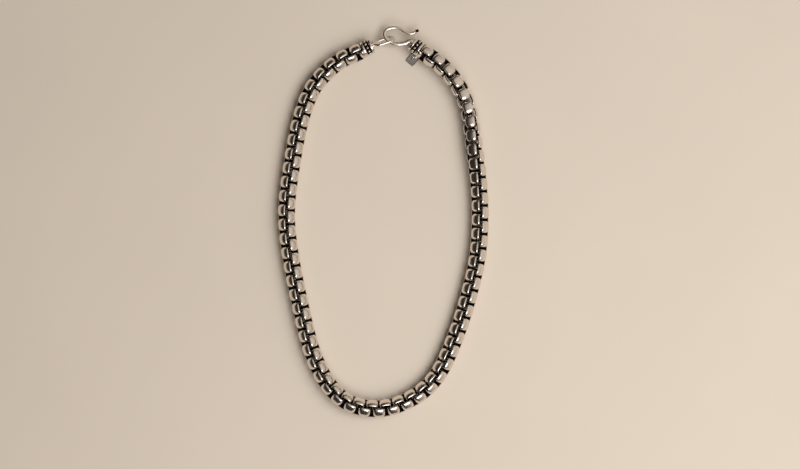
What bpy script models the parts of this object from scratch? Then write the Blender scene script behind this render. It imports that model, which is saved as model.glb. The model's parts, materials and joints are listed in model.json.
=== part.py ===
"""Rounded box chain necklace with a hook and eye clasp and a small hang tag.

The necklace lies closed on a flat surface, its clasp at the back (+Y) and its front at -Y.
Every link is a broad band bent into a box. Each link is turned a quarter against the last,
so four rows of domed straps run along the chain. Neighbouring links are soldered in short
runs, and each run is one solid that moves against the next at their crossed end bars.
"""

import math

import bmesh
import bpy
import numpy as np
from mathutils import Matrix, Vector

MM = 0.001

# Chain links, in millimetres
LINK_PITCH = 3.62
LINK_LENGTH = 5.95
LINK_HEIGHT = 9.0
BAND_WIDTH = 4.3
STRAP_THICKNESS = 1.3
BAR_THICKNESS = 0.9
LINK_CORNER = 1.1
CORE_WIDTH = 1.5
CORE_INSET = 0.2

# Links in each soldered run, from the eye's end to the hook's end
RUN_LINKS = (3,) * 40

# Where the chain lies, from the eye cap round the front to the hook cap
DRAPE = (
    (-19.7, 84.5), (-28.2, 78.5), (-37.0, 68.4), (-43.0, 53.6), (-47.6, 31.7), (-50.9, 4.9),
    (-49.9, -12.9), (-44.3, -43.4), (-36.4, -73.4), (-28.2, -88.4), (-19.2, -96.5),
    (-7.5, -100.0), (5.0, -98.9), (18.9, -92.1), (28.3, -82.4), (36.6, -65.4), (44.4, -41.9),
    (49.4, -19.8), (50.7, 0.1), (50.0, 17.1), (47.7, 36.9), (44.9, 55.6), (40.4, 67.5),
    (34.6, 75.7), (27.6, 82.4),
)

# How far the straps are rolled over along the chain: share of its length, degrees
ROLL = (
    (0.0, 42.0), (0.2, 45.0), (0.42, 45.0), (0.5, 33.0), (0.58, 42.0), (0.66, 45.0),
    (0.82, 48.0), (0.9, 82.0), (0.95, 108.0), (1.0, 128.0),
)

# End caps
CAP_LENGTH = 5.3
CAP_RADIUS = 4.1
CAP_RIM = 1.35
CAP_CHANNEL_RADIUS = 2.8
CAP_RECESS_RADIUS = 3.0
CAP_RECESS_DEPTH = 0.7
CAP_EDGE = 0.4
CAP_SIDES = 20
EYE_CAP_CENTRE = (-8.35, 89.6)
EYE_CAP_HEADING = 28.0
HOOK_CAP_CENTRE = (17.0, 90.2)
HOOK_CAP_HEADING = 139.0

# The small link that is soldered into each cap
STUB_HEIGHT = 8.0
STUB_REACH = 2.6
STUB_ROOT = 1.15
FIRST_LINK_GAP = 0.41

# Ring of beads in each cap's channel
BEAD_COUNT = 10
BEAD_RADIUS = 0.55
BEAD_RING_THICKNESS = 0.5
BEAD_RISE = 0.1
FIT_GAP = 0.2

# Eye
EYE_WIRE = 1.4
EYE_LENGTH = 12.4
EYE_WIDTH = 5.4
EYE_ROOT_WIDTH = 2.9
EYE_SHOULDER = (3.0, 4.6)
EYE_SHOULDER_INSET = 0.25
EYE_TILT = 60.0
EYE_HEADING = 18.0
EYE_FOOT = 1.0
SOLDER_GAP = 0.25

# Hook, as it lies in its own flat plane after it leaves the cap
HOOK_WIDTH = 1.9
HOOK_FLATNESS = 0.74
HOOK_FOOT = 1.2
HOOK_TAPER = ((0, 1.4), (6, 1.1), (10, 1.0))
HOOK_TIP_TAPER = 0.8
HOOK_ROUTE = (
    (10.9, 91.8), (7.1, 91.4), (4.2, 92.0), (1.9, 93.6), (0.6, 95.7), (0.7, 97.7), (1.9, 99.0),
    (3.7, 99.7), (6.2, 99.9), (8.7, 99.2), (10.9, 97.9), (12.9, 97.0), (14.9, 96.9),
    (16.2, 97.6),
)
HOOK_BALL_RADIUS = 1.15

# Hang tag, which hangs from a ring soldered on the hook cap's chain side
TAG_SIDE = 5.0
TAG_THICKNESS = 0.8
TAG_EDGE_INSET = 1.2
TAG_EYE_RADIUS = 0.95
TAG_EYE_WIRE = 0.6
TAG_EYE_SINK = 0.3
TAG_RING_RADIUS = 1.2
TAG_RING_WIRE = 0.6
TAG_RING_SETBACK = 0.35
TAG_RING_STANDOFF = 0.9
TAG_SHIFT = 0.4

PATH_STEPS = 24


# ---------------------------------------------------------------- scene helpers

def clear_scene():
    for item in list(bpy.data.objects):
        bpy.data.objects.remove(item)


def metal(name, colour, roughness):
    material = bpy.data.materials.new(name)
    material.use_nodes = True
    shader = material.node_tree.nodes["Principled BSDF"]
    shader.inputs["Base Color"].default_value = (*colour, 1.0)
    shader.inputs["Metallic"].default_value = 1.0
    shader.inputs["Roughness"].default_value = roughness
    return material


def add_object(name, mesh):
    item = bpy.data.objects.new(name, mesh)
    bpy.context.scene.collection.objects.link(item)
    return item


def evaluated_mesh(item):
    bpy.context.view_layer.update()
    graph = bpy.context.evaluated_depsgraph_get()
    mesh = bpy.data.meshes.new_from_object(item.evaluated_get(graph))
    mesh.transform(item.matrix_world)
    return mesh


def as_mesh_object(item, name):
    """A curve or a modified object as a plain welded mesh with its place in it."""
    mesh = evaluated_mesh(item)
    bpy.data.objects.remove(item)
    work = bmesh.new()
    work.from_mesh(mesh)
    bmesh.ops.remove_doubles(work, verts=work.verts, dist=0.00001)
    bmesh.ops.recalc_face_normals(work, faces=work.faces)
    work.to_mesh(mesh)
    work.free()
    return add_object(name, mesh)


def joined(name, items):
    """One closed solid from solids that reach into each other."""
    base = items[0]
    for tool in items[1:]:
        union = base.modifiers.new("union", "BOOLEAN")
        union.operation = "UNION"
        union.solver = "EXACT"
        union.object = tool
    mesh = evaluated_mesh(base)
    for item in items:
        bpy.data.objects.remove(item)
    return add_object(name, mesh)


def finish_node(item, material, pivot, collection):
    """Puts a node's origin on its joint and gives it its material."""
    item.data.transform(Matrix.Translation(-pivot))
    item.location = pivot
    item.data.materials.clear()
    item.data.materials.append(material)
    bpy.context.scene.collection.objects.unlink(item)
    collection.objects.link(item)
    return item


# ---------------------------------------------------------------- the chain's route

def heading_vector(degrees):
    return Vector((math.cos(math.radians(degrees)), math.sin(math.radians(degrees)), 0.0))


def cap_faces(centre, heading):
    """The middle of a cap's clasp face and of its chain face."""
    middle = Vector((*centre, 0.0))
    reach = heading_vector(heading) * CAP_LENGTH / 2
    return middle + reach, middle - reach


def smooth_curve(points, steps):
    """Points on a centripetal curve through the given points."""
    knots = [points[0] * 2 - points[1], *points, points[-1] * 2 - points[-2]]
    out = []
    for p0, p1, p2, p3 in zip(knots, knots[1:], knots[2:], knots[3:]):
        t1 = math.sqrt((p1 - p0).length)
        t2 = t1 + math.sqrt((p2 - p1).length)
        t3 = t2 + math.sqrt((p3 - p2).length)
        for step in range(steps):
            t = t1 + (t2 - t1) * step / steps
            a1 = p0.lerp(p1, t / t1)
            a2 = p1.lerp(p2, (t - t1) / (t2 - t1))
            a3 = p2.lerp(p3, (t - t2) / (t3 - t2))
            b1 = a1.lerp(a2, t / t2)
            b2 = a2.lerp(a3, (t - t1) / (t3 - t1))
            out.append(b1.lerp(b2, (t - t1) / (t2 - t1)))
    out.append(points[-1])
    return out


def support_height(roll):
    """Height of the chain's axis over the surface when its straps are rolled by this angle."""
    flat = (BAND_WIDTH - STRAP_THICKNESS) / 2
    corners = (
        (flat, LINK_HEIGHT / 2),
        (BAND_WIDTH / 2, (LINK_HEIGHT - STRAP_THICKNESS) / 2),
    )
    lean = abs(math.sin(roll))
    rise = abs(math.cos(roll))
    return max(max(v * rise + w * lean, v * lean + w * rise) for w, v in corners)


def chain_length():
    lead = FIRST_LINK_GAP + LINK_LENGTH / 2
    return 2 * lead + (sum(RUN_LINKS) - 1) * LINK_PITCH


def drape_points(growth):
    """The route with its front let out or taken in, so that the chain's own length fits it."""
    start = cap_faces(EYE_CAP_CENTRE, EYE_CAP_HEADING)
    end = cap_faces(HOOK_CAP_CENTRE, HOOK_CAP_HEADING)
    clasp = (start[0] + end[0]) / 2
    inner = [clasp + (Vector((x, y, 0.0)) - clasp) * growth for x, y in DRAPE]
    lead_in = start[1] - heading_vector(EYE_CAP_HEADING) * LINK_LENGTH / 2
    lead_out = end[1] - heading_vector(HOOK_CAP_HEADING) * LINK_LENGTH / 2
    return smooth_curve([start[1], lead_in, *inner, lead_out, end[1]], PATH_STEPS)


def route_length(points):
    return sum((b - a).length for a, b in zip(points, points[1:]))


def fitted_route():
    low, high = 0.3, 3.0
    wanted = chain_length()
    for _ in range(40):
        growth = (low + high) / 2
        if route_length(drape_points(growth)) < wanted:
            low = growth
        else:
            high = growth
    return drape_points(growth)


class Route:
    """The chain's axis, read by distance from the eye cap."""

    def __init__(self):
        self.points = fitted_route()
        steps = [(b - a).length for a, b in zip(self.points, self.points[1:])]
        self.marks = np.concatenate([[0.0], np.cumsum(steps)])

    def roll(self, distance):
        shares = [share for share, _ in ROLL]
        angles = [math.radians(angle) for _, angle in ROLL]
        share = distance / self.marks[-1]
        window = np.linspace(share - 0.02, share + 0.02, 9)
        return float(np.interp(window, shares, angles).mean())

    def place(self, distance):
        x = np.interp(distance, self.marks, [p.x for p in self.points])
        y = np.interp(distance, self.marks, [p.y for p in self.points])
        return Vector((x, y, support_height(self.roll(distance))))

    def tangent(self, distance):
        ahead = self.place(distance + LINK_PITCH / 4)
        behind = self.place(distance - LINK_PITCH / 4)
        flat = Vector((ahead.x - behind.x, ahead.y - behind.y, 0.0))
        return flat.normalized()


def link_distance(index):
    return FIRST_LINK_GAP + LINK_LENGTH / 2 + index * LINK_PITCH


def frame_at(place, tangent, roll):
    """Local X along the chain, local Y from strap to strap, local Z across the band."""
    outward = Vector((tangent.y, -tangent.x, 0.0))
    strap = Vector((0.0, 0.0, 1.0)) * math.cos(roll) + outward * math.sin(roll)
    across = tangent.cross(strap)
    turn = Matrix((tangent, strap, across)).transposed()
    return Matrix.Translation(place * MM) @ turn.to_4x4()


def link_frame(route, index):
    distance = link_distance(index)
    quarter = math.pi / 2 if index % 2 else 0.0
    return frame_at(route.place(distance), route.tangent(distance), route.roll(distance) + quarter)


# ---------------------------------------------------------------- links

def box_outline(length, height, corner):
    """Eight corners of a box with cut corners, in order round it."""
    x, y = length / 2, height / 2
    quarter = ((x, y - corner), (x - corner, y))
    right_top = list(quarter)
    left_top = [(-a, b) for a, b in reversed(quarter)]
    left_low = [(-a, -b) for a, b in quarter]
    right_low = [(a, -b) for a, b in reversed(quarter)]
    return right_top + left_top + left_low + right_low


def band_solid(name, length, height):
    """A closed band: a six-sided section carried round a box with cut corners."""
    flat = (BAND_WIDTH - STRAP_THICKNESS) / 2
    edge = BAND_WIDTH / 2
    layers = (
        (0.0, flat), (1.0, edge), (2.0, flat), (2.0, -flat), (1.0, -edge), (0.0, -flat),
    )
    work = bmesh.new()
    rings = []
    for depth, across in layers:
        outline = box_outline(
            length - depth * BAR_THICKNESS,
            height - depth * STRAP_THICKNESS,
            LINK_CORNER - depth * BAR_THICKNESS / 4,
        )
        rings.append([work.verts.new((x * MM, y * MM, across * MM)) for x, y in outline])
    for inner, outer in zip(rings, rings[1:] + rings[:1]):
        for k in range(len(inner)):
            ahead = (k + 1) % len(inner)
            work.faces.new((inner[k], inner[ahead], outer[ahead], outer[k]))
    bmesh.ops.recalc_face_normals(work, faces=work.faces)
    mesh = bpy.data.meshes.new(name)
    work.to_mesh(mesh)
    work.free()
    return add_object(name, mesh)


def block(name, size, matrix):
    work = bmesh.new()
    bmesh.ops.create_cube(work, size=1.0)
    bmesh.ops.scale(work, vec=Vector(size) * MM, verts=work.verts)
    mesh = bpy.data.meshes.new(name)
    work.to_mesh(mesh)
    work.free()
    mesh.transform(matrix)
    return add_object(name, mesh)


def solder_core(route, index):
    """The solder inside the crossing of a link and the next one."""
    distance = link_distance(index) + LINK_PITCH / 2
    matrix = frame_at(route.place(distance), route.tangent(distance), route.roll(distance))
    overlap = LINK_LENGTH - LINK_PITCH
    return block("core", (overlap - 2 * CORE_INSET, CORE_WIDTH, CORE_WIDTH), matrix)


def make_run(route, name, first, count):
    parts = []
    for index in range(first, first + count):
        link = band_solid("link", LINK_LENGTH, LINK_HEIGHT)
        link.data.transform(link_frame(route, index))
        parts.append(link)
        if index > first:
            parts.append(solder_core(route, index - 1))
    return joined(name, parts)


def run_starts():
    starts = [0]
    for count in RUN_LINKS:
        starts.append(starts[-1] + count)
    return starts


# ---------------------------------------------------------------- clasp

def turned(name, profile, sides, closed=False):
    """A solid turned about local Z from (radius, height) points, top to bottom."""
    mesh = bpy.data.meshes.new(name)
    corners = [(radius * MM, 0.0, height * MM) for radius, height in profile]
    edges = [(k, k + 1) for k in range(len(corners) - 1)]
    if closed:
        edges.append((len(corners) - 1, 0))
    mesh.from_pydata(corners, edges, [])
    item = add_object(name, mesh)
    screw = item.modifiers.new("turn", "SCREW")
    screw.steps = sides
    screw.render_steps = sides
    screw.use_merge_vertices = True
    screw.merge_threshold = 0.00001
    return as_mesh_object(item, name)


def along_axis(place, direction):
    """Carries local Z onto a direction at a place given in millimetres."""
    turn = direction.to_track_quat("Z", "Y").to_matrix().to_4x4()
    return Matrix.Translation(place * MM) @ turn


def ring(name, radius, wire, matrix):
    bpy.ops.mesh.primitive_torus_add(
        major_radius=radius * MM, minor_radius=wire / 2 * MM, major_segments=16, minor_segments=8)
    item = bpy.context.object
    item.name = name
    item.data.transform(matrix)
    return item


def cap_drum(name, matrix):
    half = CAP_LENGTH / 2
    lip = half - CAP_RIM
    profile = (
        (0.0, half), (CAP_RADIUS - CAP_EDGE, half), (CAP_RADIUS, half - CAP_EDGE),
        (CAP_RADIUS, lip), (CAP_CHANNEL_RADIUS, lip), (CAP_CHANNEL_RADIUS, -lip),
        (CAP_RADIUS, -lip), (CAP_RADIUS, CAP_EDGE - half), (CAP_RADIUS - CAP_EDGE, -half),
        (CAP_RECESS_RADIUS, -half), (CAP_RECESS_RADIUS, CAP_RECESS_DEPTH - half),
        (0.0, CAP_RECESS_DEPTH - half),
    )
    drum = turned(name, profile, CAP_SIDES)
    drum.data.transform(matrix)
    return drum


def cap_stub(route, name, at_end):
    """The soldered link that stands out of a cap's chain face."""
    total = route.marks[-1]
    length = STUB_REACH + STUB_ROOT
    inset = STUB_REACH - length / 2
    distance = total - inset if at_end else inset
    last = sum(RUN_LINKS)
    quarter = math.pi / 2 if (last if at_end else -1) % 2 else 0.0
    edge = total if at_end else 0.0
    base = route.place(edge)
    direction = route.tangent(edge)
    place = base + direction * (distance - edge)
    place.z = base.z
    stub = band_solid(name, length, STUB_HEIGHT)
    stub.data.transform(frame_at(place, direction, route.roll(edge) + quarter))
    return stub


def bead_ring(name, matrix):
    """A band in the cap's channel with round beads along its middle."""
    inner = CAP_CHANNEL_RADIUS + FIT_GAP
    outer = inner + BEAD_RING_THICKNESS
    half = CAP_LENGTH / 2 - CAP_RIM - FIT_GAP
    profile = ((inner, half), (outer, half), (outer, -half), (inner, -half))
    parts = [turned(name, profile, CAP_SIDES, closed=True)]
    centre = (outer + BEAD_RISE) * MM
    for k in range(BEAD_COUNT):
        angle = 2 * math.pi * (k + 0.5) / BEAD_COUNT
        bpy.ops.mesh.primitive_uv_sphere_add(
            segments=6, ring_count=5, radius=BEAD_RADIUS * MM,
            location=(centre * math.cos(angle), centre * math.sin(angle), 0.0),
            rotation=(0.0, 0.0, angle))
        bead = bpy.context.object
        parts.append(as_mesh_object(bead, "bead"))
    band = joined(name, parts)
    band.data.transform(matrix)
    return band


def wire_object(name, points, radius, widths=None, steps=2):
    curve = bpy.data.curves.new(name, "CURVE")
    curve.dimensions = "3D"
    curve.bevel_depth = radius * MM
    curve.bevel_resolution = steps
    curve.use_fill_caps = True
    spline = curve.splines.new("POLY")
    spline.points.add(len(points) - 1)
    for k, point in enumerate(points):
        spline.points[k].co = (*(point * MM), 1.0)
        spline.points[k].radius = widths[k] if widths else 1.0
    return as_mesh_object(add_object(name, curve), name)


def make_eye(height):
    """A long closed loop of wire, tilted about its own length, its two ends on the cap."""
    out = heading_vector(EYE_CAP_HEADING)
    root = cap_faces(EYE_CAP_CENTRE, EYE_CAP_HEADING)[0] + out * SOLDER_GAP
    base = Vector((root.x, root.y, height))
    along = heading_vector(EYE_HEADING)
    beside = heading_vector(EYE_HEADING + 90.0) * math.cos(math.radians(EYE_TILT))
    beside.z = -math.sin(math.radians(EYE_TILT))
    half = EYE_WIDTH / 2
    centre = EYE_LENGTH - half - EYE_WIRE / 2
    bend = [math.radians(angle) for angle in range(90, -91, -20)]
    tip = [(centre + half * math.cos(a), half * math.sin(a)) for a in bend]
    near, far = EYE_SHOULDER
    inset = half - EYE_SHOULDER_INSET
    outline = [(near, inset), (far, half), *tip, (far, -half), (near, -inset)]
    strands = []
    for side in (1, -1):
        foot = base + beside * side * EYE_ROOT_WIDTH / 2
        foot = foot - out * (foot - base).dot(out)
        strands.append([foot, foot + out * EYE_FOOT])
    points = strands[0] + [base + along * x + beside * y for x, y in outline] + strands[1][::-1]
    return wire_object("clasp_eye", points, EYE_WIRE / 2)


def hook_points(height):
    out = heading_vector(HOOK_CAP_HEADING)
    root = cap_faces(HOOK_CAP_CENTRE, HOOK_CAP_HEADING)[0] + out * SOLDER_GAP
    knots = [root, root + out * HOOK_FOOT, *(Vector((x, y, 0.0)) for x, y in HOOK_ROUTE)]
    return [point + Vector((0.0, 0.0, height)) for point in smooth_curve(knots, 2)]


def make_hook(height):
    """Flat hook wire, widest where it leaves the cap, with a ball at its tip."""
    points = hook_points(height)
    steps, shares = zip(*HOOK_TAPER, (len(points) - 1, HOOK_TIP_TAPER))
    widths = [float(np.interp(k, steps, shares)) for k in range(len(points))]
    hook = wire_object("clasp_hook", points, HOOK_WIDTH / 2, widths)
    level = height * MM
    flatten = Matrix.Translation((0, 0, level)) @ Matrix.Diagonal((1, 1, HOOK_FLATNESS, 1))
    hook.data.transform(flatten @ Matrix.Translation((0, 0, -level)))
    return hook


def make_hook_ball(height):
    end, before = hook_points(height)[-1], hook_points(height)[-2]
    out = (end - before).normalized()
    place = end + out * (HOOK_BALL_RADIUS + FIT_GAP)
    bpy.ops.mesh.primitive_uv_sphere_add(
        segments=14, ring_count=10, radius=HOOK_BALL_RADIUS * MM, location=place * MM)
    return as_mesh_object(bpy.context.object, "hook_ball")


# ---------------------------------------------------------------- tag

def tag_axes():
    """Unit vectors along the hook cap towards the chain, and out from its side."""
    back = -heading_vector(HOOK_CAP_HEADING)
    return back, Vector((back.y, -back.x, 0.0))


def tag_ring_height():
    return TAG_THICKNESS + TAG_EYE_RADIUS + TAG_EYE_WIRE / 2 - TAG_EYE_SINK


def tag_ring_place(cap_height):
    """The ring's middle, beside the rim of the hook cap that faces the chain."""
    back, side = tag_axes()
    drop = cap_height - tag_ring_height()
    reach = math.sqrt(CAP_RADIUS ** 2 - drop ** 2) + TAG_RING_STANDOFF
    place = Vector((*HOOK_CAP_CENTRE, 0.0)) + back * (CAP_LENGTH / 2 - TAG_RING_SETBACK) + side * reach
    place.z = tag_ring_height()
    return place


def tag_pivot(cap_height):
    """Where the tag's eye hangs on the ring's wire."""
    return tag_ring_place(cap_height) + tag_axes()[1] * TAG_RING_RADIUS


def make_tag_ring(cap_height):
    upright = Vector((0.0, 0.0, 1.0))
    return ring("tag_ring", TAG_RING_RADIUS, TAG_RING_WIRE, along_axis(tag_ring_place(cap_height), upright))


def make_tag(cap_height):
    back, side = tag_axes()
    pivot = tag_pivot(cap_height)
    turn = Matrix((back, side, back.cross(side))).transposed().to_4x4()
    middle = pivot + side * (TAG_SIDE / 2 - TAG_EDGE_INSET) + back * TAG_SHIFT
    middle.z = TAG_THICKNESS / 2
    plate = block("plate", (TAG_SIDE, TAG_SIDE, TAG_THICKNESS), Matrix.Translation(middle * MM) @ turn)
    eyelet = ring("eyelet", TAG_EYE_RADIUS, TAG_EYE_WIRE, along_axis(pivot, back))
    return joined("hang_tag", [plate, eyelet])


# ---------------------------------------------------------------- the necklace

def main():
    clear_scene()
    collection = bpy.data.collections.new("chain_necklace")
    bpy.context.scene.collection.children.link(collection)
    silver = metal("polished_silver", (0.80, 0.76, 0.71), 0.22)
    dark = metal("oxidised_silver", (0.16, 0.15, 0.14), 0.4)
    bright = metal("bead_silver", (0.85, 0.82, 0.78), 0.18)
    brushed = metal("brushed_silver", (0.55, 0.52, 0.48), 0.45)

    route = Route()
    total = route.marks[-1]
    starts = run_starts()
    front = len(RUN_LINKS) // 2
    for k, count in enumerate(RUN_LINKS):
        run = make_run(route, f"chain_run_{k + 1:02d}", starts[k], count)
        inner_edge = starts[k] if k >= front else starts[k] + count
        pivot = route.place(link_distance(inner_edge) - LINK_PITCH / 2) * MM
        finish_node(run, silver, pivot, collection)

    eye_height = route.place(0.0).z
    hook_height = route.place(total).z
    eye_pivot = route.place(link_distance(0) - LINK_PITCH / 2) * MM
    hook_pivot = route.place(link_distance(starts[-1]) - LINK_PITCH / 2) * MM
    clasp = (
        ("eye", EYE_CAP_CENTRE, EYE_CAP_HEADING, eye_height, eye_pivot, False),
        ("hook", HOOK_CAP_CENTRE, HOOK_CAP_HEADING, hook_height, hook_pivot, True),
    )
    for side, centre, heading, height, pivot, at_end in clasp:
        matrix = along_axis(Vector((*centre, height)), heading_vector(heading))
        pieces = [cap_drum("drum", matrix), cap_stub(route, "stub", at_end)]
        if at_end:
            pieces.append(make_tag_ring(height))
        finish_node(joined(f"{side}_end_cap", pieces), silver, pivot, collection)
        finish_node(bead_ring(f"{side}_bead_ring", matrix), bright, pivot, collection)

    finish_node(make_eye(eye_height), silver, eye_pivot, collection)
    finish_node(make_hook(hook_height), silver, hook_pivot, collection)
    finish_node(make_hook_ball(hook_height), dark, hook_pivot, collection)
    finish_node(make_tag(hook_height), brushed, tag_pivot(hook_height) * MM, collection)


main()
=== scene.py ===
"""Rounded box chain necklace, dressed over its frame.

Every link, cap, bead, clasp part and tag is built here at its place and rides on its own body.
"""

import json
import math

import bmesh
import bpy
import numpy as np
from bpy.props import FloatProperty, FloatVectorProperty, IntProperty, PointerProperty
from mathutils import Matrix, Vector


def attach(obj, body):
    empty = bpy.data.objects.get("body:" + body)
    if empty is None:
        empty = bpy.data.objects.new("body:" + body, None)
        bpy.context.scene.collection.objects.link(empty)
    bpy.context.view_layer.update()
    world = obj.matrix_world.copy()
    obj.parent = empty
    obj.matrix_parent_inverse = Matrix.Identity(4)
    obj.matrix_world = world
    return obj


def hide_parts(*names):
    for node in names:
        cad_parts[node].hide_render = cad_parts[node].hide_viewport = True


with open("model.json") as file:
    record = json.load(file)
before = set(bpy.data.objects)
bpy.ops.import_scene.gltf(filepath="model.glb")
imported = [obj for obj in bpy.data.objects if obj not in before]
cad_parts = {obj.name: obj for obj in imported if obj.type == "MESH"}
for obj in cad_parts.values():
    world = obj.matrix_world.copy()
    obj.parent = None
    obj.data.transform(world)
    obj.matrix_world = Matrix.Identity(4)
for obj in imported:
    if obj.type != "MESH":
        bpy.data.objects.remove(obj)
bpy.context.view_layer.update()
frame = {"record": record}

bl_info = {
    "name": "Rounded box chain necklace",
    "version": (1, 0, 0),
    "blender": (4, 5, 0),
    "location": "3D View > Sidebar > Necklace",
    "description": "Builds a rounded box chain necklace with a hook and eye clasp and a hang tag",
    "category": "Add Mesh",
}

MM = 0.001

# Where the chain lies, from the eye cap round the front to the hook cap, in metres
DRAPE = (
    (-0.0197, 0.0845), (-0.0282, 0.0785), (-0.0370, 0.0684), (-0.0430, 0.0536),
    (-0.0476, 0.0317), (-0.0509, 0.0049), (-0.0499, -0.0129), (-0.0443, -0.0434),
    (-0.0364, -0.0734), (-0.0282, -0.0884), (-0.0192, -0.0965), (-0.0075, -0.1000),
    (0.0050, -0.0989), (0.0189, -0.0921), (0.0283, -0.0824), (0.0366, -0.0654),
    (0.0444, -0.0419), (0.0494, -0.0198), (0.0507, 0.0001), (0.0500, 0.0171),
    (0.0477, 0.0369), (0.0449, 0.0556), (0.0404, 0.0675), (0.0346, 0.0757), (0.0276, 0.0824),
)
DRAPE_GROWTH = 0.9786455
EYE_CAP = ((-0.00835, 0.0896), 28.0)
HOOK_CAP = ((0.0170, 0.0902), 139.0)
HOOK_ROUTE = (
    (0.0109, 0.0918), (0.0071, 0.0914), (0.0042, 0.0920), (0.0019, 0.0936), (0.0006, 0.0957),
    (0.0007, 0.0977), (0.0019, 0.0990), (0.0037, 0.0997), (0.0062, 0.0999), (0.0087, 0.0992),
    (0.0109, 0.0979), (0.0129, 0.0970), (0.0149, 0.0969), (0.0162, 0.0976),
)

# How far the straps are rolled over along the chain: share of its length, degrees
ROLL = (
    (0.0, 42.0), (0.2, 45.0), (0.42, 45.0), (0.5, 33.0), (0.58, 42.0), (0.66, 45.0),
    (0.82, 48.0), (0.9, 82.0), (0.95, 108.0), (1.0, 128.0),
)
ROUTE_STEPS = 24
RUNS = 40
STUB_HEIGHT = 8.0 * MM
STUB_REACH = 2.6 * MM
STUB_ROOT = 1.15 * MM
EYE_SOLDER_GAP = 0.25 * MM
EYE_SINK = 0.6 * MM
EYE_FOOT = 1.0 * MM
EYE_ROOT_WIDTH = 2.9 * MM
EYE_HEADING = 18.0
HOOK_FOOT = 1.2 * MM
HOOK_TAPER_AT = (0.0, 0.2, 0.333, 1.0)
HOOK_TAPER = (1.4, 1.1, 1.0, 0.8)


# ---------------------------------------------------------------- sizes and colours

class ChainSizes(bpy.types.PropertyGroup):
    """Sizes of the links and how they are laid."""

    link_pitch: FloatProperty(
        name="Link pitch", description="Distance from one link to the next",
        default=3.62 * MM, unit="LENGTH")
    link_length: FloatProperty(
        name="Link length", description="Length of one link along the chain",
        default=6.3 * MM, unit="LENGTH")
    link_height: FloatProperty(
        name="Link height", description="Distance between a link's outer strap faces",
        default=8.8 * MM, unit="LENGTH")
    band_width: FloatProperty(
        name="Band width", description="Width of the band that a link is bent from",
        default=5.0 * MM, unit="LENGTH")
    strap_thickness: FloatProperty(
        name="Strap thickness", description="Thickness of the domed straps",
        default=1.3 * MM, unit="LENGTH")
    bar_thickness: FloatProperty(
        name="Bar thickness", description="Thickness of a link's end bars",
        default=0.9 * MM, unit="LENGTH")
    link_corner: FloatProperty(
        name="Corner radius", description="Rounding of a link's outer corners",
        default=1.45 * MM, unit="LENGTH")
    strap_bulge: FloatProperty(
        name="Strap bulge", description="How far a strap's ends fall below its middle",
        default=0.28 * MM, unit="LENGTH")
    core_width: FloatProperty(
        name="Solder width", description="Width of the hidden solder inside a run",
        default=3.4 * MM, unit="LENGTH")
    first_link: FloatProperty(
        name="First link", description="Distance from an end cap to the first link's middle",
        default=3.385 * MM, unit="LENGTH")
    run_links: IntProperty(
        name="Links in a run", description="Links that move together as one run",
        default=3, min=1)


class ClaspSizes(bpy.types.PropertyGroup):
    """Sizes of the end caps, the eye and the hook."""

    cap_length: FloatProperty(
        name="Cap length", description="Length of an end cap",
        default=5.3 * MM, unit="LENGTH")
    cap_radius: FloatProperty(
        name="Cap radius", description="Radius of an end cap's rims",
        default=4.1 * MM, unit="LENGTH")
    cap_rim: FloatProperty(
        name="Rim width", description="Width of each polished rim",
        default=1.35 * MM, unit="LENGTH")
    channel_radius: FloatProperty(
        name="Channel radius", description="Radius at the bottom of the beads' channel",
        default=2.8 * MM, unit="LENGTH")
    mouth_radius: FloatProperty(
        name="Mouth radius", description="Radius of the recess that takes the chain",
        default=3.0 * MM, unit="LENGTH")
    mouth_depth: FloatProperty(
        name="Mouth depth", description="Depth of the recess that takes the chain",
        default=0.7 * MM, unit="LENGTH")
    bead_count: IntProperty(
        name="Beads", description="Beads round each cap", default=11, min=3)
    bead_radius: FloatProperty(
        name="Bead radius", description="Radius of one bead",
        default=0.62 * MM, unit="LENGTH")
    eye_wire: FloatProperty(
        name="Eye wire", description="Diameter of the eye's wire",
        default=1.4 * MM, unit="LENGTH")
    eye_length: FloatProperty(
        name="Eye length", description="Length of the eye from its cap",
        default=12.4 * MM, unit="LENGTH")
    eye_width: FloatProperty(
        name="Eye width", description="Distance between the middles of the eye's strands",
        default=5.4 * MM, unit="LENGTH")
    eye_tilt: FloatProperty(
        name="Eye tilt", description="How far the eye is rolled about its own length",
        default=math.radians(60.0), unit="ROTATION")
    hook_width: FloatProperty(
        name="Hook width", description="Width of the hook's flat wire",
        default=1.9 * MM, unit="LENGTH")
    hook_flatness: FloatProperty(
        name="Hook flatness", description="Thickness of the hook's wire as a share of its width",
        default=0.74, min=0.1, max=1.0)
    ball_radius: FloatProperty(
        name="Ball radius", description="Radius of the ball at the hook's tip",
        default=1.15 * MM, unit="LENGTH")


class TagSizes(bpy.types.PropertyGroup):
    """Sizes of the hang tag and its rings."""

    side: FloatProperty(
        name="Tag side", description="Side of the square tag",
        default=5.0 * MM, unit="LENGTH")
    thickness: FloatProperty(
        name="Tag thickness", description="Thickness of the tag",
        default=0.8 * MM, unit="LENGTH")
    eyelet_radius: FloatProperty(
        name="Eyelet radius", description="Radius of the ring on the tag",
        default=0.95 * MM, unit="LENGTH")
    ring_radius: FloatProperty(
        name="Ring radius", description="Radius of the ring soldered on the cap",
        default=1.2 * MM, unit="LENGTH")
    wire: FloatProperty(
        name="Ring wire", description="Diameter of the wire of both small rings",
        default=0.6 * MM, unit="LENGTH")


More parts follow.
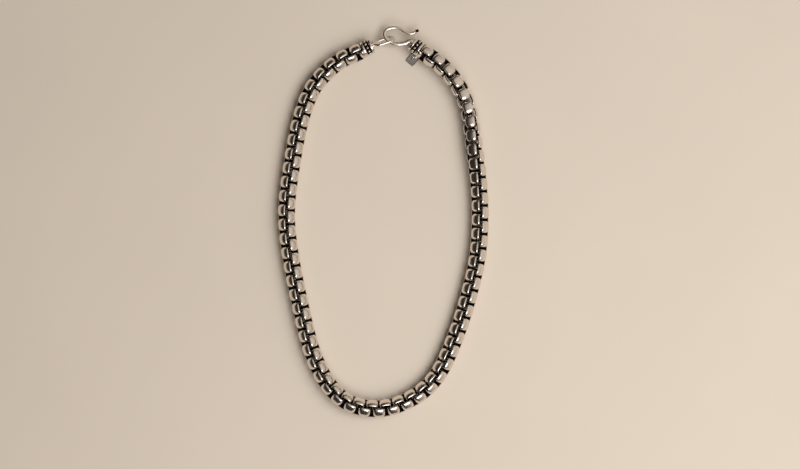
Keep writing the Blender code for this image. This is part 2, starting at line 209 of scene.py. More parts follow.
class Finishes(bpy.types.PropertyGroup):
    """Colours of the metal and of the surface it lies on."""

    silver: FloatVectorProperty(
        name="Polished silver", description="Colour of the polished faces",
        default=(0.80, 0.735, 0.67), subtype="COLOR", min=0.0, max=1.0)
    # Dark colour where recess is set: painted shade between and inside the chain's links, dark metal
    # elsewhere
    oxide_and_shade: FloatVectorProperty(
        name="Oxidised silver and painted shade", description="Colour of the darkened recesses",
        default=(0.018, 0.016, 0.015), subtype="COLOR", min=0.0, max=1.0)
    tag: FloatVectorProperty(
        name="Brushed silver", description="Colour of the hang tag",
        default=(0.36, 0.345, 0.325), subtype="COLOR", min=0.0, max=1.0)
    surface: FloatVectorProperty(
        name="Surface", description="Colour of the surface under the necklace",
        default=(0.585, 0.51, 0.428), subtype="COLOR", min=0.0, max=1.0)


SETTINGS = {
    "necklace_chain": ChainSizes,
    "necklace_clasp": ClaspSizes,
    "necklace_tag": TagSizes,
    "necklace_finish": Finishes,
}


def settings(name):
    return getattr(bpy.context.scene, name)


# ---------------------------------------------------------------- meshes

def add_object(name, mesh):
    item = bpy.data.objects.new(name, mesh)
    bpy.context.scene.collection.objects.link(item)
    return item


def smooth(mesh):
    mesh.polygons.foreach_set("use_smooth", [True] * len(mesh.polygons))


def set_attribute(mesh, name, kind, values):
    layer = mesh.attributes.new(name, kind, "POINT")
    field = "value" if kind == "FLOAT" else "vector"
    layer.data.foreach_set(field, np.asarray(values, dtype=np.float32).ravel())


def grid_mesh(name, rows, recess, place, close_ends=False):
    """A skin over rings of points, each ring closed on itself.

    The rings join up in a loop unless the two end rings are filled in. recess is 0 on a polished
    face and 1 on a dark one (painted shade between and inside the chain's links), and place is where
    the point lies on the surface in millimetres.
    """
    count = len(rows[0])
    faces = []
    last = len(rows) - 1 if close_ends else len(rows)
    for i in range(last):
        ahead = (i + 1) % len(rows)
        for k in range(count):
            beside = (k + 1) % count
            faces.append((i * count + k, i * count + beside, ahead * count + beside,
                          ahead * count + k))
    if close_ends:
        faces.append(tuple(range(count))[::-1])
        faces.append(tuple((len(rows) - 1) * count + k for k in range(count)))
    mesh = bpy.data.meshes.new(name)
    mesh.from_pydata([point for row in rows for point in row], [], faces)
    set_attribute(mesh, "recess", "FLOAT", recess)
    set_attribute(mesh, "place", "FLOAT_VECTOR", place)
    work = bmesh.new()
    work.from_mesh(mesh)
    bmesh.ops.recalc_face_normals(work, faces=work.faces)
    work.to_mesh(mesh)
    work.free()
    smooth(mesh)
    return mesh


def merged(name, meshes):
    """One mesh from several, with their attributes and materials kept."""
    items = [add_object(name, mesh) for mesh in meshes]
    with bpy.context.temp_override(
            active_object=items[0], object=items[0], selected_objects=items,
            selected_editable_objects=items):
        bpy.ops.object.join()
    return items[0]


def applied(item):
    """The item with its modifiers made real."""
    bpy.context.view_layer.update()
    graph = bpy.context.evaluated_depsgraph_get()
    mesh = bpy.data.meshes.new_from_object(item.evaluated_get(graph))
    item.modifiers.clear()
    item.data = mesh
    return item


def eased(value, low, high):
    share = min(max((value - low) / (high - low), 0.0), 1.0)
    return share * share * (3.0 - 2.0 * share)


# ---------------------------------------------------------------- the frame

def body_of(node):
    bodies = frame["record"]["behaviour"]["bodies"]
    return next(body for body, nodes in bodies.items() if node in nodes)


def stand_for(item, node):
    """The item takes the node's place and rides on its body."""
    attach(item, body_of(node))
    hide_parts(node)


# ---------------------------------------------------------------- the route

def heading_vector(degrees):
    return Vector((math.cos(math.radians(degrees)), math.sin(math.radians(degrees)), 0.0))


def cap_faces(cap):
    """The middle of a cap's clasp face and of its chain face."""
    (x, y), heading = cap
    reach = heading_vector(heading) * settings("necklace_clasp").cap_length / 2
    return Vector((x, y, 0.0)) + reach, Vector((x, y, 0.0)) - reach


def smooth_curve(points, steps):
    """Points on a centripetal curve through the given points."""
    knots = [points[0] * 2 - points[1], *points, points[-1] * 2 - points[-2]]
    out = []
    for p0, p1, p2, p3 in zip(knots, knots[1:], knots[2:], knots[3:]):
        t1 = math.sqrt((p1 - p0).length)
        t2 = t1 + math.sqrt((p2 - p1).length)
        t3 = t2 + math.sqrt((p3 - p2).length)
        for step in range(steps):
            t = t1 + (t2 - t1) * step / steps
            a1 = p0.lerp(p1, t / t1)
            a2 = p1.lerp(p2, (t - t1) / (t2 - t1))
            a3 = p2.lerp(p3, (t - t2) / (t3 - t2))
            b1 = a1.lerp(a2, t / t2)
            b2 = a2.lerp(a3, (t - t1) / (t3 - t1))
            out.append(b1.lerp(b2, (t - t1) / (t2 - t1)))
    out.append(points[-1])
    return out


class Lay:
    """The chain's axis over the surface, read by distance from the eye cap."""

    def __init__(self):
        self.sizes = settings("necklace_chain")
        start, end = cap_faces(EYE_CAP), cap_faces(HOOK_CAP)
        clasp = (start[0] + end[0]) / 2
        inner = [clasp + (Vector((x, y, 0.0)) - clasp) * DRAPE_GROWTH for x, y in DRAPE]
        lead_in = start[1] - heading_vector(EYE_CAP[1]) * self.sizes.link_length / 2
        lead_out = end[1] - heading_vector(HOOK_CAP[1]) * self.sizes.link_length / 2
        self.points = smooth_curve([start[1], lead_in, *inner, lead_out, end[1]], ROUTE_STEPS)
        steps = [(b - a).length for a, b in zip(self.points, self.points[1:])]
        self.marks = np.concatenate([[0.0], np.cumsum(steps)])
        self.total = float(self.marks[-1])

    def roll(self, distance):
        shares = [share for share, _ in ROLL]
        angles = [math.radians(angle) for _, angle in ROLL]
        share = distance / self.total
        window = np.linspace(share - 0.02, share + 0.02, 9)
        return float(np.interp(window, shares, angles).mean())

    def height(self, distance):
        """Height of the axis when the lowest straps touch the surface."""
        sizes = self.sizes
        flat = (sizes.band_width - sizes.strap_thickness) / 2
        corners = (
            (flat, sizes.link_height / 2),
            (sizes.band_width / 2, (sizes.link_height - sizes.strap_thickness) / 2),
        )
        lean = abs(math.sin(self.roll(distance)))
        rise = abs(math.cos(self.roll(distance)))
        return max(max(v * rise + w * lean, v * lean + w * rise) for w, v in corners)

    def place(self, distance):
        x = np.interp(distance, self.marks, [p.x for p in self.points])
        y = np.interp(distance, self.marks, [p.y for p in self.points])
        return Vector((x, y, self.height(distance)))

    def tangent(self, distance):
        reach = self.sizes.link_pitch / 4
        ahead, behind = self.place(distance + reach), self.place(distance - reach)
        return Vector((ahead.x - behind.x, ahead.y - behind.y, 0.0)).normalized()


def frame_at(place, tangent, roll):
    """Local X along the chain, local Y from strap to strap, local Z across the band."""
    outward = Vector((tangent.y, -tangent.x, 0.0))
    strap = Vector((0.0, 0.0, 1.0)) * math.cos(roll) + outward * math.sin(roll)
    turn = Matrix((tangent, strap, tangent.cross(strap))).transposed()
    return Matrix.Translation(place) @ turn.to_4x4()


def along_axis(place, direction):
    return Matrix.Translation(place) @ direction.to_track_quat("Z", "Y").to_matrix().to_4x4()


# ---------------------------------------------------------------- one link

# Across the band: share of its thickness in from the outer face, share of its half width
BAND_SECTION = (
    (0.68, -1.0), (0.45, -0.96), (0.27, -0.86), (0.12, -0.68), (0.03, -0.38), (0.0, 0.0),
    (0.03, 0.38), (0.12, 0.68), (0.27, 0.86), (0.45, 0.96), (0.68, 1.0), (0.88, 0.94),
    (1.0, 0.68), (1.0, -0.68), (0.88, -0.94),
)
ARC_STEPS = 6
CORNER_STRETCH = 1.3
BAR_WIDTH_SHARE = 0.80


def link_outline(half_length, half_height, corner, bulge):
    """Points round a box with long round corners, its two straps domed along their length.

    Each point also has the share of the band's full width there: the bars are narrower.
    """
    quarter = [(half_length, 0.0, BAR_WIDTH_SHARE)]
    for k in range(ARC_STEPS):
        angle = math.radians(90.0 * k / (ARC_STEPS - 1))
        x = half_length + CORNER_STRETCH * corner * (math.cos(angle) - 1.0)
        y = half_height + corner * (math.sin(angle) - 1.0)
        share = BAR_WIDTH_SHARE + (1.0 - BAR_WIDTH_SHARE) * math.sin(angle)
        quarter.append((x, y - bulge * (x / half_length) ** 2 * math.sin(angle), share))
    upper = quarter + [(0.0, half_height, 1.0)] + [(-x, y, w) for x, y, w in reversed(quarter)]
    return upper + [(-x, -y, w) for x, y, w in upper[1:-1]]


def link_band(name, length, height):
    """A band bent into a rounded box, domed across its width."""
    sizes = settings("necklace_chain")
    outlines = {}
    for depth, _ in BAND_SECTION:
        outlines[depth] = link_outline(
            length / 2 - depth * sizes.bar_thickness,
            height / 2 - depth * sizes.strap_thickness,
            sizes.link_corner * (1.0 - 0.55 * depth),
            sizes.strap_bulge)
    outer = outlines[0.0]
    rows, recess, place = [], [], []
    along = 0.0
    for k, (_, y, share) in enumerate(outer):
        if k:
            along += math.dist(outer[k][:2], outer[k - 1][:2])
        row = []
        for depth, across in BAND_SECTION:
            px, py, _ = outlines[depth][k]
            beside = across * share * sizes.band_width / 2
            row.append((px, py, beside))
            # Painted shade: the end bars, which sit between the links, and the band's inside are set
            # dark where shade falls
            on_bar = 1.0 - eased(abs(y) / (height / 2), 0.52, 0.80)
            recess.append(max(on_bar, eased(depth, 0.55, 0.85)))
            place.append((along / MM, beside / MM, depth))
        rows.append(row)
    return grid_mesh(name, rows, recess, place)


def core_block(name, length, width):
    """A short bar, dark all over as painted shade between the links, rounded along its length."""
    rows, recess, place = [], [], []
    for share, size in ((-0.5, 0.8), (-0.4, 1.0), (0.4, 1.0), (0.5, 0.8)):
        ring = [(share * length, size * width / 2 * math.cos(a), size * width / 2 * math.sin(a))
                for a in np.linspace(0.0, 2 * math.pi, 9)[:-1]]
        rows.append(ring)
        # Painted shade: the whole bar is set dark so that the view between the links reads as shade
        recess += [1.0] * len(ring)
        place += [(share * length / MM, 0.0, 1.0)] * len(ring)
    return grid_mesh(name, rows, recess, place, close_ends=True)


# ---------------------------------------------------------------- node trees

class Tree:
    """A geometry node tree and the calls that fill it."""

    def __init__(self, name, inputs):
        self.group = bpy.data.node_groups.new(name, "GeometryNodeTree")
        self.identifiers = {}
        for label, kind, default in inputs:
            socket = self.group.interface.new_socket(label, in_out="INPUT", socket_type=kind)
            if default is not None:
                socket.default_value = default
            self.identifiers[label] = socket.identifier
        self.group.interface.new_socket(
            "Geometry", in_out="OUTPUT", socket_type="NodeSocketGeometry")
        self.source = self.group.nodes.new("NodeGroupInput")

    def node(self, kind, inputs=(), **values):
        """A node, with what feeds each of its named or numbered inputs."""
        made = self.group.nodes.new(kind)
        for key, value in values.items():
            setattr(made, key, value)
        for key, value in dict(inputs).items():
            if isinstance(value, bpy.types.NodeSocket):
                self.group.links.new(value, made.inputs[key])
            else:
                made.inputs[key].default_value = value
        return made

    def given(self, label):
        return self.source.outputs[label]

    def math(self, operation, first, second=0.0):
        return self.node("ShaderNodeMath", {0: first, 1: second}, operation=operation).outputs[0]

    def finish(self, geometry, material):
        real = self.node("GeometryNodeRealizeInstances", {"Geometry": geometry})
        dressed = self.node(
            "GeometryNodeSetMaterial", {"Geometry": real.outputs[0], "Material": material})
        out = self.group.nodes.new("NodeGroupOutput")
        self.group.links.new(dressed.outputs[0], out.inputs[0])


def instances_on_route(tree, first, count, offset, quarter_turns, shape):
    """Copies of a shape at even distances along the route, each rolled with the chain."""
    route = tree.node("GeometryNodeObjectInfo", {"Object": tree.given("Route")})
    curve = tree.node("GeometryNodeMeshToCurve", {"Mesh": route.outputs["Geometry"]})
    index = tree.node("GeometryNodeInputIndex").outputs[0]
    number = tree.math("ADD", index, first)
    steps = tree.math("MULTIPLY", number, tree.given("Link Pitch"))
    distance = tree.math("ADD", tree.math("ADD", steps, tree.given("First Link")), offset)
    samples = {}
    for label in ("roll", "height"):
        attribute = tree.node("GeometryNodeInputNamedAttribute", {"Name": label})
        samples[label] = tree.node(
            "GeometryNodeSampleCurve",
            {"Curves": curve.outputs[0], "Value": attribute.outputs[0], "Length": distance},
            mode="LENGTH", data_type="FLOAT")
    flat = tree.node("ShaderNodeSeparateXYZ", {0: samples["roll"].outputs["Position"]})
    place = tree.node("ShaderNodeCombineXYZ", {
        0: flat.outputs[0], 1: flat.outputs[1], 2: samples["height"].outputs["Value"]})
    tangent = samples["roll"].outputs["Tangent"]
    turned = tree.math("MULTIPLY", tree.math("MODULO", number, 2.0), quarter_turns)
    roll = tree.math("ADD", samples["roll"].outputs["Value"], turned)
    side = tree.node("ShaderNodeSeparateXYZ", {0: tangent})
    lean = tree.math("SINE", roll)
    strap = tree.node("ShaderNodeCombineXYZ", {
        0: tree.math("MULTIPLY", side.outputs[1], lean),
        1: tree.math("MULTIPLY", tree.math("MULTIPLY", side.outputs[0], -1.0), lean),
        2: tree.math("COSINE", roll)})
    turn = tree.node(
        "FunctionNodeAxesToRotation",
        {"Primary Axis": tangent, "Secondary Axis": strap.outputs[0]},
        primary_axis="X", secondary_axis="Y")
    points = tree.node("GeometryNodePoints", {"Count": count, "Position": place.outputs[0]})
    copies = tree.node("GeometryNodeInstanceOnPoints", {
        "Points": points.outputs[0], "Instance": shape, "Rotation": turn.outputs[0]})
    return copies.outputs[0]


def chain_run_tree():
    """Links along the route, each a quarter turn on from the last, with the solder inside."""
    tree = Tree("Chain run", (
        ("Route", "NodeSocketObject", None),
        ("Link", "NodeSocketObject", None),
        ("Solder", "NodeSocketObject", None),
        ("First Number", "NodeSocketFloat", 0.0),
        ("Link Count", "NodeSocketInt", 3),
        ("Link Pitch", "NodeSocketFloat", 0.0036),
        ("First Link", "NodeSocketFloat", 0.003),
        ("Quarter Turn", "NodeSocketFloat", math.pi / 2),
        ("Material", "NodeSocketMaterial", None),
    ))
    shapes = {}
    for label in ("Link", "Solder"):
        info = tree.node("GeometryNodeObjectInfo", {"Object": tree.given(label)})
        shapes[label] = info.outputs["Geometry"]
    number = tree.given("First Number")
    links = instances_on_route(
        tree, number, tree.given("Link Count"), 0.0, tree.given("Quarter Turn"), shapes["Link"])
    crossings = tree.math("SUBTRACT", tree.given("Link Count"), 1.0)
    halfway = tree.math("MULTIPLY", tree.given("Link Pitch"), 0.5)
    solder = instances_on_route(tree, number, crossings, halfway, 0.0, shapes["Solder"])
    both = tree.node("GeometryNodeJoinGeometry")
    for part in (links, solder):
        tree.group.links.new(part, both.inputs[0])
    tree.finish(both.outputs[0], tree.given("Material"))
    return tree


def bead_ring_tree():
    """Beads evenly round a circle."""
    tree = Tree("Ring of beads", (
        ("Beads", "NodeSocketInt", 11),
        ("Ring Radius", "NodeSocketFloat", 0.0036),
        ("Bead Radius", "NodeSocketFloat", 0.0005),
        ("Material", "NodeSocketMaterial", None),
    ))
    circle = tree.node("GeometryNodeMeshCircle", {
        "Vertices": tree.given("Beads"), "Radius": tree.given("Ring Radius")})
    bead = tree.node("GeometryNodeMeshUVSphere", {
        "Segments": 14, "Rings": 9, "Radius": tree.given("Bead Radius")})
    round_bead = tree.node("GeometryNodeSetShadeSmooth", {"Geometry": bead.outputs[0]})
    copies = tree.node("GeometryNodeInstanceOnPoints", {
        "Points": circle.outputs[0], "Instance": round_bead.outputs[0]})
    tree.finish(copies.outputs[0], tree.given("Material"))
    return tree


def grow(item, tree, values):
    """Runs the tree on the item with these inputs and keeps what it makes."""
    modifier = item.modifiers.new(tree.group.name, "NODES")
    modifier.node_group = tree.group
    for label, value in values.items():
        modifier[tree.identifiers[label]] = value
    return applied(item)


# ---------------------------------------------------------------- materials

class Shader:
    """A material or shader group and the calls that fill it."""

    def __init__(self, tree):
        self.tree = tree

    def node(self, kind, inputs=(), **values):
        made = self.tree.nodes.new(kind)
        for key, value in values.items():
            setattr(made, key, value)
        for key, value in dict(inputs).items():
            if isinstance(value, bpy.types.NodeSocket):
                self.tree.links.new(value, made.inputs[key])
            else:
                made.inputs[key].default_value = value
        return made

    def math(self, operation, first, second=0.0, third=0.0):
        inputs = {0: first, 1: second, 2: third}
        return self.node("ShaderNodeMath", inputs, operation=operation).outputs[0]

    def ramp(self, value, low, high, bottom=0.0, top=1.0):
        inputs = {"Value": value, "From Min": low, "From Max": high, "To Min": bottom, "To Max": top}
        made = self.node("ShaderNodeMapRange", inputs, interpolation_type="SMOOTHSTEP")
        return made.outputs[0]


def silver_wear_and_shade_group():
    """Dark recesses (painted shade on the chain's links, dark metal elsewhere), fine polishing lines
    and faint handling marks.
    """
    group = bpy.data.node_groups.get("Worn silver and painted shade")
    if group:
        return group
    group = bpy.data.node_groups.new("Worn silver and painted shade", "ShaderNodeTree")
    for label, kind, default in (
            ("Recess", "NodeSocketFloat", 0.0), ("Place", "NodeSocketVector", None),
            ("Line Density", "NodeSocketFloat", 9.0), ("Line Depth", "NodeSocketFloat", 0.3),
            ("Polish", "NodeSocketFloat", 0.14)):
        socket = group.interface.new_socket(label, in_out="INPUT", socket_type=kind)
        if default is not None:
            socket.default_value = default
    for label in ("Oxide And Shade", "Roughness", "Height"):
        group.interface.new_socket(label, in_out="OUTPUT", socket_type="NodeSocketFloat")
    work = Shader(group)
    given = work.node("NodeGroupInput").outputs
    out = group.nodes.new("NodeGroupOutput")
    spread = work.node("ShaderNodeCombineXYZ", {0: given["Line Density"], 1: 0.35, 2: 1.0})
    stretched = work.node(
        "ShaderNodeVectorMath", {0: given["Place"], 1: spread.outputs[0]}, operation="MULTIPLY")
    lines = work.node("ShaderNodeTexNoise", {
        "Vector": stretched.outputs[0], "Scale": 1.0, "Detail": 3.0, "Roughness": 0.6})
    marks = work.node("ShaderNodeTexNoise", {
        "Vector": given["Place"], "Scale": 0.8, "Detail": 4.0, "Roughness": 0.55})
    line = work.ramp(lines.outputs[0], 0.35, 0.68)
    mark = work.ramp(marks.outputs[0], 0.35, 0.70)
    # Dark share: painted shade where recess marks the links' bars and insides, dark metal elsewhere,
    # with a ragged edge from the marks noise
    ragged = work.math("MULTIPLY_ADD", marks.outputs[0], 0.5, -0.25)
    oxide_and_shade = work.ramp(work.math("ADD", given["Recess"], ragged), 0.35, 0.75)
    lined = work.math("MULTIPLY", line, given["Line Depth"])
    blur = work.math("MULTIPLY_ADD", lined, 0.16, given["Polish"])
    blur = work.math("MULTIPLY_ADD", mark, 0.05, blur)
    rough = work.math("MULTIPLY_ADD", oxide_and_shade, 0.22, blur)
    group.links.new(oxide_and_shade, out.inputs["Oxide And Shade"])
    group.links.new(rough, out.inputs["Roughness"])
    group.links.new(lined, out.inputs["Height"])
    return group


def silver_material(name, colour, oxide_and_shade, recess=None, density=9.0, depth=0.3, polish=0.14):
    """Metal darkened where recess says so, as painted shade on the chain's links: an attribute's
    name, or the same share all over.
    """
    if name in bpy.data.materials:
        return bpy.data.materials[name]
    material = bpy.data.materials.new(name)
    material.use_nodes = True
    work = Shader(material.node_tree)
    metal = material.node_tree.nodes["Principled BSDF"]
    metal.inputs["Metallic"].default_value = 1.0
    place = work.node("ShaderNodeAttribute", attribute_name="place")
    inputs = {"Place": place.outputs["Vector"], "Line Density": density, "Line Depth": depth,
              "Polish": polish}
    if recess:
        deep = work.node("ShaderNodeAttribute", attribute_name=recess)
        inputs["Recess"] = deep.outputs["Fac"]
    wear_and_shade = work.node("ShaderNodeGroup", node_tree=silver_wear_and_shade_group())
    for key, value in inputs.items():
        if isinstance(value, bpy.types.NodeSocket):
            work.tree.links.new(value, wear_and_shade.inputs[key])
        else:
            wear_and_shade.inputs[key].default_value = value
    tone = work.node("ShaderNodeMix", data_type="RGBA")
    tone.inputs[6].default_value = (*colour, 1.0)
    tone.inputs[7].default_value = (*oxide_and_shade, 1.0)
    bump = work.node("ShaderNodeBump", {
        "Strength": 0.25, "Distance": 0.02 * MM, "Height": wear_and_shade.outputs["Height"]})
    for source, target in (
            (wear_and_shade.outputs["Oxide And Shade"], tone.inputs[0]), (tone.outputs[2], metal.inputs["Base Color"]),
            (wear_and_shade.outputs["Roughness"], metal.inputs["Roughness"]),
            (bump.outputs[0], metal.inputs["Normal"])):
        work.tree.links.new(source, target)
    return material


def polished_silver():
    finish = settings("necklace_finish")
    return silver_material("Polished silver", finish.silver, finish.oxide_and_shade, recess="recess")


def dark_silver():
    finish = settings("necklace_finish")
    return silver_material(
        "Darkened silver", finish.oxide_and_shade, finish.oxide_and_shade, recess="recess", polish=0.2)


def brushed_silver():
    finish = settings("necklace_finish")
    return silver_material(
        "Brushed silver", finish.tag, finish.oxide_and_shade, recess="recess",
        density=14.0, depth=1.0, polish=0.34)


# ---------------------------------------------------------------- turned and swept pieces

def lathe(name, profile, sides, matrix):
    """A solid turned about local Z from (radius, height, recess) points."""
    angles = np.linspace(0.0, 2 * math.pi, sides + 1)[:-1]
    rows, recess, place = [], [], []
    for radius, height, deep in profile:
        rows.append([(radius * math.cos(a), radius * math.sin(a), height) for a in angles])
        recess += [deep] * sides
        place += [(height / MM, a * radius / MM, 0.0) for a in angles]
    mesh = grid_mesh(name, rows, recess, place, close_ends=True)
    mesh.transform(matrix)
    return mesh


def ring_mesh(name, radius, wire, matrix, sides=36):
    """A closed ring of round wire about local Z."""
    rows, recess, place = [], [], []
    turns = np.linspace(0.0, 2 * math.pi, 13)[:-1]
    for angle in np.linspace(0.0, 2 * math.pi, sides + 1)[:-1]:
        row = []
        for turn in turns:
            reach = radius + wire / 2 * math.cos(turn)
            row.append((reach * math.cos(angle), reach * math.sin(angle),
                        wire / 2 * math.sin(turn)))
            place.append((angle * radius / MM, turn * wire / 2 / MM, 0.0))
        rows.append(row)
        recess += [0.0] * len(turns)
    mesh = grid_mesh(name, rows, recess, place)
    mesh.transform(matrix)
    return mesh


def swept_wire(name, points, widths, heights, sides=16):
    """Wire carried along points: its width lies across the path and its height stands on it."""
    rows, recess, place = [], [], []
    along = 0.0
    previous = None
    for k, point in enumerate(points):
        ahead = points[min(k + 1, len(points) - 1)] - points[max(k - 1, 0)]
        forward = ahead.normalized()
        if previous is None:
            across = forward.cross(Vector((0.0, 0.0, 1.0))).normalized()
        else:
            across = (previous - forward * previous.dot(forward)).normalized()
            along += (point - points[k - 1]).length
        previous = across
        up = across.cross(forward)
        row = []
        for angle in np.linspace(0.0, 2 * math.pi, sides + 1)[:-1]:
            a, u = math.cos(angle) * widths[k] / 2, math.sin(angle) * heights[k] / 2
            row.append(point + across * a + up * u)
            place.append((along / MM, angle * widths[k] / 2 / MM, 0.0))
        rows.append(row)
        recess += [0.0] * sides
    return grid_mesh(name, rows, recess, place, close_ends=True)


def cap_drum(name, matrix):
    """A drum with two polished rims round a dark channel and a dark mouth for the chain."""
    sizes = settings("necklace_clasp")
    half, radius = sizes.cap_length / 2, sizes.cap_radius
    lip = half - sizes.cap_rim
    channel, mouth = sizes.channel_radius, sizes.mouth_radius
    rim = ((0.55, 0.0), (0.22, 0.05), (0.07, 0.16), (0.0, 0.36))
    upper = [(radius - a * MM, half - b * MM, 0.0) for a, b in rim]
    upper += [(radius - a * MM, lip + b * MM, 0.0) for a, b in reversed(rim[1:])]
    face = [(0.05 * MM, half, 0.0), (radius * 0.6, half, 0.0)]
    upper_wall = [
        (radius - 0.32 * MM, lip, 0.25), (radius - 0.7 * MM, lip, 1.0), (channel, lip, 1.0)]
    lower = [(r, -h, deep) for r, h, deep in reversed(face[1:] + upper + upper_wall)][:-1]
    hollow = [(mouth + 0.15 * MM, -half, 0.2), (mouth, -half + 0.15 * MM, 1.0),
              (mouth, sizes.mouth_depth - half, 1.0), (0.05 * MM, sizes.mouth_depth - half, 1.0)]
    return lathe(name, face + upper + upper_wall + lower + hollow, 56, matrix)


# ---------------------------------------------------------------- the hang tag's place

TAG_RING_SETBACK = 0.35 * MM
TAG_RING_STANDOFF = 0.9 * MM
TAG_EYE_SINK = 0.3 * MM
TAG_EDGE_INSET = 1.2 * MM
TAG_SHIFT = 0.4 * MM


def tag_axes():
    """Unit vectors along the hook cap towards the chain, and out from its side."""
    back = -heading_vector(HOOK_CAP[1])
    return back, Vector((back.y, -back.x, 0.0))


def tag_ring_place(cap_height):
    """The ring's middle, beside the rim of the hook cap that faces the chain."""
    tag, clasp = settings("necklace_tag"), settings("necklace_clasp")
    height = tag.thickness + tag.eyelet_radius + tag.wire / 2 - TAG_EYE_SINK
    back, side = tag_axes()
    reach = math.sqrt(clasp.cap_radius ** 2 - (cap_height - height) ** 2) + TAG_RING_STANDOFF
    along = back * (clasp.cap_length / 2 - TAG_RING_SETBACK)
    place = Vector((*HOOK_CAP[0], 0.0)) + along + side * reach
    place.z = height
    return place


def plate_mesh(name, side, thickness, matrix):
    """A square plate with rounded corners, softened edges and a shallow bare field."""
    def square(half, corner):
        points = []
        for quarter in range(4):
            for k in range(5):
                angle = math.radians(quarter * 90.0 + k * 22.5)
                centre = [(1, 1), (-1, 1), (-1, -1), (1, -1)][quarter]
                points.append(((half - corner) * centre[0] + corner * math.cos(angle),
                               (half - corner) * centre[1] + corner * math.sin(angle)))
        return points
    half, top = side / 2, thickness / 2
    layers = [
        (0.05, 0.02, -top, 0.0), (half - 0.25 * MM, 0.45 * MM, -top, 0.0),
        (half - 0.08 * MM, 0.5 * MM, -top + 0.05 * MM, 0.0), (half, 0.5 * MM, -top + 0.18 * MM, 0.0),
        (half, 0.5 * MM, top - 0.18 * MM, 0.0), (half - 0.08 * MM, 0.5 * MM, top - 0.05 * MM, 0.0),
        (half - 0.25 * MM, 0.45 * MM, top, 0.0), (half - 0.55 * MM, 0.4 * MM, top, 0.0),
        (half - 0.65 * MM, 0.4 * MM, top - 0.09 * MM, 0.65),
        (half - 0.85 * MM, 0.35 * MM, top - 0.09 * MM, 0.0),
        (0.05, 0.02, top - 0.09 * MM, 0.0),
    ]
    rows, recess, place = [], [], []
    for reach, corner, level, deep in layers:
        size = min(reach, half) if reach != 0.05 else 0.3 * MM
        rounding = min(corner, size * 0.5)
        row = [(x, y, level) for x, y in square(size, rounding)]
        rows.append(row)
        recess += [deep] * len(row)
        place += [(x / MM, y / MM, level / MM) for x, y, _ in row]
    mesh = grid_mesh(name, rows, recess, place, close_ends=True)
    mesh.transform(matrix)
    return mesh


# ---------------------------------------------------------------- operators

def route_object(lay):
    """The route as an edge mesh that carries the roll and the height of the axis."""
    mesh = bpy.data.meshes.new("route")
    count = len(lay.points)
    mesh.from_pydata(lay.points, [(k, k + 1) for k in range(count - 1)], [])
    set_attribute(mesh, "roll", "FLOAT", [lay.roll(mark) for mark in lay.marks])
    set_attribute(mesh, "height", "FLOAT", [lay.height(mark) for mark in lay.marks])
    return add_object("route", mesh)


class NECKLACE_OT_chain(bpy.types.Operator):
    """Build the links, one run for each body"""

    bl_idname = "necklace.chain"
    bl_label = "Chain links"

    def execute(self, context):
        sizes = settings("necklace_chain")
        lay = Lay()
        helpers = [
            route_object(lay),
            add_object("link", link_band("link", sizes.link_length, sizes.link_height)),
            add_object("solder", core_block(
                "solder", sizes.link_pitch, sizes.core_width)),
        ]
        tree = chain_run_tree()
        for run in range(RUNS):
            node = f"chain_run_{run + 1:02d}"
            item = add_object(f"{node}_links", bpy.data.meshes.new(node))
            grow(item, tree, {
                "Route": helpers[0], "Link": helpers[1], "Solder": helpers[2],
                "First Number": float(run * sizes.run_links), "Link Count": sizes.run_links,
                "Link Pitch": sizes.link_pitch,
                "First Link": sizes.first_link,
                "Material": polished_silver(),
            })
            stand_for(item, node)
        for helper in helpers:
            bpy.data.objects.remove(helper)
        return {"FINISHED"}


def caps():
    """Each cap's name, its body place and its run of the chain."""
    lay = Lay()
    places = (("eye", EYE_CAP, 0.0), ("hook", HOOK_CAP, lay.total))
    return [(side, lay, cap, distance, along_axis(
        Vector((*cap[0], lay.height(distance))), heading_vector(cap[1])))
        for side, cap, distance in places]


class NECKLACE_OT_end_caps(bpy.types.Operator):
    """Build the two end caps with the small link in each mouth and the tag's ring"""

    bl_idname = "necklace.end_caps"
    bl_label = "End caps"

    def execute(self, context):
        chain, tag = settings("necklace_chain"), settings("necklace_tag")
        last = RUNS * chain.run_links
        for side, lay, cap, distance, matrix in caps():
            reach = STUB_REACH if side == "eye" else -STUB_REACH
            inset = (STUB_REACH - (STUB_REACH + STUB_ROOT) / 2) * math.copysign(1.0, reach)
            odd = last % 2 if side == "hook" else 1
            tangent = lay.tangent(distance)
            place = lay.place(distance) + tangent * inset
            stub = link_band("stub", STUB_REACH + STUB_ROOT, STUB_HEIGHT)
            stub.transform(frame_at(place, tangent, lay.roll(distance) + odd * math.pi / 2))
            pieces = [cap_drum("drum", matrix), stub]
            if side == "hook":
                ring_place = tag_ring_place(lay.height(distance))
                pieces.append(ring_mesh(
                    "tag_ring", tag.ring_radius, tag.wire, Matrix.Translation(ring_place)))
            item = merged(f"{side}_cap", pieces)
            item.data.materials.append(polished_silver())
            stand_for(item, f"{side}_end_cap")
        return {"FINISHED"}


